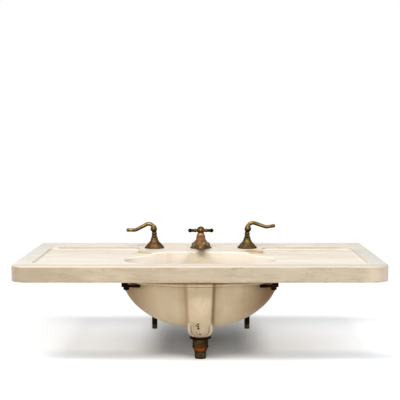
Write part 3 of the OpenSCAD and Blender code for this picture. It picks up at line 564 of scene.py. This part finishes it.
def china():
    s = Shader("aged_china")
    x, y, z = s.split(s.place)
    outside = s.fade(s.split(s.normal)[2], 0.25, -0.05)
    front = s.fade(y, BOWL_Y - 0.020, BOWL_Y - 0.035)
    colour = chamber_paint(s, glaze_paint(s, x, z, outside), x, z, front)
    # Darker where surfaces meet: painted shade in the crevices, together with dirt in the grooves
    crevice_dirt_and_shade = s.fade(s.crevice(0.020), 0.90, 0.40)
    colour = s.stain(colour, (112, 80, 44), crevice_dirt_and_shade, 0.75)

    # Crazing, with dirt in it, and specks and chips near the foot of the chamber
    crazing = s.cracks(150, 0.035)
    colour = s.stain(colour, (130, 100, 66), crazing, 0.14)
    foot = s.times(s.fade(z, -0.168, -0.188), s.fade(x, 0.004, -0.006), s.fade(x, -0.034, -0.028), front)
    specks = s.fade(s.noise(300, 2, 0.5), 0.56, 0.63)
    colour = s.stain(colour, (96, 64, 34), specks, foot, 0.9)
    chips = [s.spot((across, 0, high), (size, 2.0, size), 0.35, 0.2, 300) for across, high, size in CHIPS]
    chipped = s.times(s.most(*chips), front)
    colour = s.stain(colour, (34, 26, 20), chipped)

    waves = s.bump(s.noise(16, 3, 0.5), 0.3, 0.003)
    s.set(Base_Color=colour, Roughness=s.fade(chipped, 0.0, 1.0, 0.40, 0.8), Specular_IOR_Level=0.08,
          Normal=s.bump(crazing, 0.12, 0.0003, waves))
    return s.material


# Metals

def metal(name, light, dark, crust, rough=(0.34, 0.55), grain=220.0, crust_amount=0.5, bloom=None):
    """Brass or iron with a patina: light where it is rubbed, dark in the hollows, with a crust in spots, and
    painted shade on the undersides.
    """
    s = Shader(name)
    blotches = s.fade(s.noise(55, 5, 0.6, 0.6), 0.38, 0.64)
    colour = s.blend(blotches, light, dark)
    hollow = s.fade(s.crevice(0.009), 0.92, 0.40)
    colour = s.stain(colour, crust, hollow, 0.9)
    # Painted shade: faces turned downwards take the crust colour
    colour = s.stain(colour, crust, s.fade(s.split(s.normal)[2], 0.15, -0.5), 0.85)
    spots = s.fade(s.noise(grain, 4, 0.65), 0.54, 0.66)
    colour = s.stain(colour, crust, spots, crust_amount)
    if bloom:
        amount, tint = bloom
        colour = s.stain(colour, tint, s.fade(s.noise(38, 4, 0.6, 0.4), 0.58, 0.72), amount)
    dull = s.most(spots, hollow)
    coarse = s.bump(s.noise(90, 4, 0.6), 0.35, 0.0008)
    s.set(Base_Color=colour, Metallic=s.fade(dull, 0.0, 1.0, 0.80, 0.25), Specular_Tint=METAL_EDGE,
          Specular_IOR_Level=0.15, Roughness=s.fade(blotches, 0.0, 1.0, *rough),
          Normal=s.bump(s.noise(grain * 2, 3, 0.6), 0.25, 0.0003, coarse))
    return s


def lever_brass():
    """Rubbed along the arms, dark and spotted on the hubs."""
    s = metal("lever_brass", (156, 126, 78), (108, 82, 46), (40, 27, 13))
    x, _, z = s.split(s.place)
    outwards = s.calc("SUBTRACT", s.away(x), TAP_X["cold"])
    hub = s.times(s.fade(outwards, 0.016, 0.008), s.fade(z, 0.077, 0.068))
    blots = s.fade(s.noise(150, 4, 0.65), 0.36, 0.52, 0.35, 0.95)
    s.restain((50, 40, 22), hub, blots, 0.75)
    return s.material


def handle_brass():
    """The T-handle: brass with nearly black knobs."""
    s = metal("dark_knobs", (112, 84, 50), (74, 54, 30), (30, 19, 10))
    s.restain((28, 14, 9), s.fade(s.away(s.split(s.place)[0]), 0.016, 0.027), 0.9)
    return s.material


def spout_brass():
    """Coppery, with red and green on the foot, a mottled nose and one bright teal spot."""
    s = metal("coppery_brass", (166, 120, 86), (130, 93, 62), (52, 36, 20), (0.5, 0.68),
              bloom=(0.30, (112, 122, 90)))
    _, y, z = s.split(s.place)
    foot = s.times(s.fade(z, 0.024, 0.010), s.fade(s.noise(46, 4, 0.6), 0.34, 0.55, 0.3, 1.0))
    s.restain((100, 80, 44), foot, 0.70)
    s.restain((196, 106, 62), s.spot(*RED, 0.8, 0.5, 120), 0.55)
    green = s.fade(s.noise(70, 3, 0.5, 0.0, s.stretched(1, 1, 1, (3, 0, 2))), 0.56, 0.64)
    s.restain((84, 132, 112), s.fade(z, 0.020, 0.012), green, 0.5)

    nose = s.times(s.fade(y, -0.185, -0.215), s.fade(z, 0.038, 0.020))
    mottle = s.noise(150, 4, 0.7, 0.0, s.stretched(1, 0.4, 1, (2, 5, 1)))
    s.restain((80, 66, 40), nose, s.fade(mottle, 0.44, 0.58), 0.8)
    s.restain((180, 92, 56), nose, s.fade(mottle, 0.42, 0.34), 0.55)
    flecks = s.noise(170, 3, 0.6, 0.0, s.stretched(1, 0.4, 1, (7, 1, 4)))
    s.restain((84, 128, 104), nose, s.fade(flecks, 0.58, 0.66), 0.6)
    s.restain((96, 204, 180), s.spot(*TEAL, 0.5, 0.4, 200), 0.95)
    return s.material


def drain_brass():
    """Dark, with a reddish band round the waste body."""
    s = metal("dark_brass", (84, 61, 35), (58, 41, 23), (26, 16, 8), (0.4, 0.6))
    x, _, z = s.split(s.place)
    band = s.times(s.fade(z, -0.272, -0.270, 1.0, 0.0), s.fade(z, -0.285, -0.279),
                   s.fade(s.away(x, -0.003), 0.026, 0.010, 0.25, 1.0))
    s.restain((146, 76, 30), band, 0.8)
    return s.material


def tail_brass():
    """Nearly black tails with a green bloom at the open end."""
    s = metal("tail_brass", (44, 34, 28), (32, 24, 20), (18, 13, 11), (0.45, 0.65))
    z = s.split(s.place)[2]
    ragged = s.calc("ADD", z, s.times(s.calc("SUBTRACT", s.noise(70, 3), 0.5), 0.02))
    s.restain((84, 82, 56), s.fade(ragged, -0.250, -0.255), 0.8)
    return s.material


def rusty_iron():
    s = metal("rusty_iron", (44, 27, 16), (28, 17, 10), (14, 8, 5), (0.6, 0.85), 260.0, 0.6)
    s.set(Metallic=0.15)
    return s.material


# Soft materials

def putty():
    s = Shader("dry_putty")
    s.set(Base_Color=s.blend(s.fade(s.noise(60, 5), 0.35, 0.65), (196, 180, 150), (164, 146, 116)),
          Roughness=0.85, Normal=s.bump(s.noise(140, 5), 0.5, 0.0012))
    return s.material


def rubber():
    s = Shader("old_rubber")
    s.set(Base_Color=s.blend(s.fade(s.noise(120), 0.4, 0.6), (44, 40, 37), (66, 60, 54)),
          Roughness=0.75, Normal=s.bump(s.noise(300, 3), 0.3, 0.0004))
    return s.material


def hemp():
    s = Shader("greased_hemp")
    strands = s.noise(160, 3, 0.5, 0.0, s.stretched(1, 1, 5))
    s.set(Base_Color=s.blend(s.fade(strands, 0.35, 0.65), (150, 130, 92), (96, 80, 54)),
          Roughness=0.8, Normal=s.bump(strands, 0.5, 0.0006))
    return s.material


# Softened castings and trim

def cast(name, node, body, softening, fuller=None):
    """A copy of a CAD node with soft edges, as a casting or fired clay has, which stands for the node.

    fuller gives, for a point of it, by how much the casting stands out there.
    """
    work = bpy.data.objects.new(name + "_work", NODE[node].data.copy())
    bpy.context.scene.collection.objects.link(work)
    remesh = work.modifiers.new("remesh", "REMESH")
    remesh.mode = "VOXEL"
    smooth = work.modifiers.new("smooth", "SMOOTH")
    smooth.factor = 0.5
    remesh.voxel_size, smooth.iterations = softening
    seen = work.evaluated_get(bpy.context.evaluated_depsgraph_get())
    mesh = bpy.data.meshes.new_from_object(seen)
    bpy.data.objects.remove(work)
    mesh.materials.clear()
    mesh.shade_smooth()
    if fuller:
        moved = [vertex.co + vertex.normal * fuller(vertex.co) for vertex in mesh.vertices]
        for vertex, place in zip(mesh.vertices, moved):
            vertex.co = place
    piece = bpy.data.objects.new(name, mesh)
    bpy.context.scene.collection.objects.link(piece)
    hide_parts(node)
    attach(piece, body)
    return piece


def eased(value, low, high):
    """0 at low and below, 1 at high and above, with a smooth step between."""
    part = min(1.0, max(0.0, (value - low) / (high - low)))
    return part * part * (3 - 2 * part)


def lever_fuller(tap_x):
    """The levers are fuller along the arm and over the top of the hub, not where the hub sits on its neck.

    Towards the highest point of the solids they are not, so the sink keeps its height.
    """
    def grow(point):
        arm = eased(math.hypot(point.x - tap_x, point.y - TAP_Y), *ARM_EASE)
        hub = eased(point.z, *HUB_EASE)
        return LEVER_FULLER * eased(cad_high.z - point.z, 0.0, TOP_ROOM) * max(arm, hub)
    return grow


def handle_fuller(point):
    return HANDLE_FULLER * eased(point.z, *HANDLE_EASE)


def mesh_piece(name, points, faces, body):
    mesh = bpy.data.meshes.new(name)
    mesh.from_pydata(points, [], faces)
    mesh.shade_smooth()
    piece = bpy.data.objects.new(name, mesh)
    bpy.context.scene.collection.objects.link(piece)
    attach(piece, body)
    return piece


def putty_bead():
    """The uneven bead of putty squeezed out of the joint between the basin's rim and the marble."""
    seed = random.Random(4)
    waves = [(seed.choice((7, 11, 17, 29, 41, 67)), seed.uniform(0, math.tau), seed.uniform(0.2, 0.5))
             for _ in range(9)]
    points = []
    for i in range(BEAD_STEPS):
        angle = math.tau * i / BEAD_STEPS
        x, y = BEAD_A * math.cos(angle), BEAD_B * math.sin(angle)
        out = Vector((x / BEAD_A ** 2, y / BEAD_B ** 2, 0)).normalized()
        wave = sum(high * math.sin(count * angle + turn) for count, turn, high in waves)
        radius = BEAD_R + BEAD_WAVE * wave
        sag = 0.0
        for place, width, grow, drop in BEAD_LUMPS:
            near = math.exp(-((x - place) / width) ** 2) if y < 0 else 0.0
            radius += grow * near
            sag += drop * near
        radius = max(BEAD_LEAST_R, radius)
        hang = max(0.0, radius - BEAD_HEAVY_R)
        middle = Vector((x, BOWL_Y + y, UNDER_Z - BEAD_HANG - hang - sag))
        for j in range(BEAD_AROUND):
            turn = math.tau * j / BEAD_AROUND
            high = min(radius * math.sin(turn), UNDER_Z - middle.z)
            points.append(middle + out * (radius * BEAD_FLAT * math.cos(turn)) + Vector((0, 0, high)))

    def corner(i, j):
        return i % BEAD_STEPS * BEAD_AROUND + j % BEAD_AROUND
    faces = [(corner(i, j), corner(i, j + 1), corner(i + 1, j + 1), corner(i + 1, j))
             for i in range(BEAD_STEPS) for j in range(BEAD_AROUND)]
    return mesh_piece("putty_bead", points, faces, "fixed")


def tail_thread(side):
    """The thread on a supply tail's open end: one ridge that winds up and fades out at both ends."""
    low, high = TAIL_END + THREAD_FREE[0], TAIL_END + TAIL_THREAD_H - THREAD_FREE[1]
    rows = int((high - low) / TAIL_THREAD_PITCH * THREAD_AROUND)
    points = []
    for i in range(rows + 1):
        angle = math.tau * i / THREAD_AROUND
        base = low + (high - low - TAIL_THREAD_PITCH) * i / rows
        ease = min(1.0, i / THREAD_AROUND, (rows - i) / THREAD_AROUND)
        for step, rise in THREAD_PROFILE:
            radius = TAIL_THREAD_R - THREAD_SINK + (TAIL_R - TAIL_THREAD_R) * rise * ease
            points.append((TAP_X[side] + radius * math.cos(angle), TAP_Y + radius * math.sin(angle),
                           base + TAIL_THREAD_PITCH * step))
    count = len(THREAD_PROFILE)
    faces = [(i * count + j, (i + 1) * count + j, (i + 1) * count + j + 1, i * count + j + 1)
             for i in range(rows) for j in range(count - 1)]
    return mesh_piece(side + "_tail_thread", points, faces, "fixed")


def dress(material, *pieces):
    for piece in pieces:
        piece.data.materials.clear()
        piece.data.materials.append(material)


def nodes_named(names, before=""):
    return [NODE[before + name] for name in names.split()]


plain = {name: metal(name, *patina).material for name, patina in PLAIN_METALS.items()}
lever_skin = lever_brass()
tail_skin = tail_brass()
hemp_skin = hemp()

dress(marble(), NODE["marble_top"])
dress(china(), cast("china_basin", "basin", "fixed", SOFTENING["basin"]))
dress(putty(), NODE["basin_bedding"], putty_bead())
dress(plain["poured_lead"], NODE["clamp_leads"])
dress(rusty_iron(), *nodes_named("clamp_bars clamp_bolts clamp_nuts"))
dress(spout_brass(), cast("spout_casting", "spout", "fixed", SOFTENING["spout"]))
dress(handle_brass(), cast("lift_handle_casting", "lift_handle", "waste_lift",
                           SOFTENING["lift_handle"], handle_fuller))
for side, flare in (("hot", plain["brown_brass"]), ("cold", plain["olive_brass"])):
    dress(lever_skin, NODE[side + "_lever_screw"],
          cast(side + "_lever_casting", side + "_lever", side + "_handle",
               SOFTENING["lever"], lever_fuller(TAP_X[side])))
    dress(flare, NODE[side + "_packing_nut"],
          cast(side + "_escutcheon_casting", side + "_escutcheon", "fixed",
               SOFTENING["escutcheon"]))
    dress(plain["rough_brass"], *nodes_named("stem valve_body locknut inlet_nipple tail_nut", side + "_"),
          *nodes_named("crossover crossover_nuts", side + "_"))
    dress(tail_skin, NODE[side + "_supply_tail"])
    dress(plain["green_thread"], tail_thread(side))
    dress(hemp_skin, NODE[side + "_packing"])
dress(plain["rough_brass"],
      *nodes_named("spout_locknut spout_tee lift_rod lift_strap strap_screw popup_plug pivot_rod"))
dress(drain_brass(), *nodes_named("drain_flange drain_body pivot_nut"))
dress(plain["black_brass"], NODE["drain_locknut"])
dress(plain["green_brass"], NODE["drain_tail"])
dress(rubber(), *nodes_named("spout_washer drain_gasket plug_seal pivot_seals hot_washer cold_washer"))


# Floor, light and camera

def link_seen(nodes, links):
    """1 for rays from the camera, in reflections and through glass, 0 for all others."""
    path = nodes.new("ShaderNodeLightPath")
    seen = path.outputs["Is Camera Ray"]
    for kind in ("Is Glossy Ray", "Is Transmission Ray"):
        either = nodes.new("ShaderNodeMath")
        either.operation = "MAXIMUM"
        links.new(seen, either.inputs[0])
        links.new(path.outputs[kind], either.inputs[1])
        seen = either.outputs[0]
    return seen


def floor_paint(s, x, y):
    """The floor as it is seen: just white where it is lit, darker near the sink as painted shade, and a
    paler, cooler outer shadow.
    """
    away = s.reach(s.calc("SUBTRACT", x, FLOOR_MIDDLE[0]), s.calc("SUBTRACT", y, FLOOR_MIDDLE[1]))
    front = s.calc("ADD", s.fade(y, -0.45, -0.80, 1.0, 0.7), s.fade(y, -1.8, -3.0, 0.0, 0.5))
    # Painted shade: the seen colour is lower still close to the middle, under the sink
    under = s.fade(away, 0.10, 0.32, 0.85, 1.0)
    lit = s.times(s.calc("POWER", away, FLOOR_RISE), FLOOR_LEVEL, front, under)

    width = s.fade(s.away(x, FLOOR_SHADE_X), 0.42, 0.68, 1.0, 0.0)
    outer = s.times(s.fade(y, -0.365, -0.235), s.fade(y, -0.20, 0.60, FLOOR_SHADE, 0.0),
                    s.fade(s.away(x, FLOOR_MIDDLE[0]), 0.10, 0.235), width)
    depth = s.times(s.fade(y, -0.40, -0.36), s.fade(y, -0.34, 0.10, 1.0, 0.35),
                    s.fade(y, 0.10, 0.60, 1.0, 0.0))
    tint = s.mix(s.times(width, depth), WHITE, FLOOR_COOL)
    return s.mix(1.0, tint, s.grey(s.calc("ADD", lit, outer)), "MULTIPLY")


def floor():
    """A pale floor that keeps the object's shadow; its colour evens out the fall of the light on it."""
    mesh = bpy.data.meshes.new("floor")
    mesh.from_pydata([(-FLOOR_HALF, -FLOOR_HALF, 0), (FLOOR_HALF, -FLOOR_HALF, 0),
                      (FLOOR_HALF, FLOOR_HALF, 0), (-FLOOR_HALF, FLOOR_HALF, 0)], [], [(0, 1, 2, 3)])
    plane = bpy.data.objects.new("floor", mesh)
    plane.location.z = cad_low.z - FLOOR_GAP
    bpy.context.scene.collection.objects.link(plane)
    s = Shader("floor", "ShaderNodeBsdfDiffuse")
    x, y, _ = s.split(s.place)
    s.set(Color=s.mix(link_seen(s.tree.nodes, s.tree.links), FLOOR_BOUNCE, floor_paint(s, x, y)))
    mesh.materials.append(s.material)


def world():
    """White where it is seen, and a plain soft fill for everything else."""
    sky = bpy.data.worlds.new("studio")
    bpy.context.scene.world = sky
    sky.use_nodes = True
    nodes, links = sky.node_tree.nodes, sky.node_tree.links
    nodes.clear()
    out = nodes.new("ShaderNodeOutputWorld")
    level = nodes.new("ShaderNodeMapRange")
    links.new(link_seen(nodes, links), level.inputs["Value"])
    level.inputs["To Min"].default_value = FILL
    level.inputs["To Max"].default_value = 1.0
    back = nodes.new("ShaderNodeBackground")
    back.inputs["Color"].default_value = WHITE
    links.new(level.outputs["Result"], back.inputs["Strength"])
    links.new(back.outputs[0], out.inputs["Surface"])


def softbox(name, place, target, size, power):
    data = bpy.data.lights.new(name, "AREA")
    data.shape = "RECTANGLE"
    data.size, data.size_y = size
    data.energy = power
    lamp = bpy.data.objects.new(name, data)
    lamp.location = place
    lamp.rotation_mode = "QUATERNION"
    lamp.rotation_quaternion = (Vector(target) - Vector(place)).to_track_quat("-Z", "Y")
    bpy.context.scene.collection.objects.link(lamp)


def camera():
    data = bpy.data.cameras.new("camera")
    data.sensor_width = SENSOR
    data.lens = LENS
    data.shift_x = LENS_SHIFT
    data.clip_start = 0.1
    data.clip_end = 60
    eye = bpy.data.objects.new("camera", data)
    eye.location = EYE
    eye.rotation_euler = (math.radians(90 - EYE_DOWN), 0, 0)
    bpy.context.scene.collection.objects.link(eye)
    bpy.context.scene.camera = eye


floor()
world()
for lamp in LAMPS:
    softbox(*lamp)
camera()
bpy.context.scene.view_settings.view_transform = "Standard"
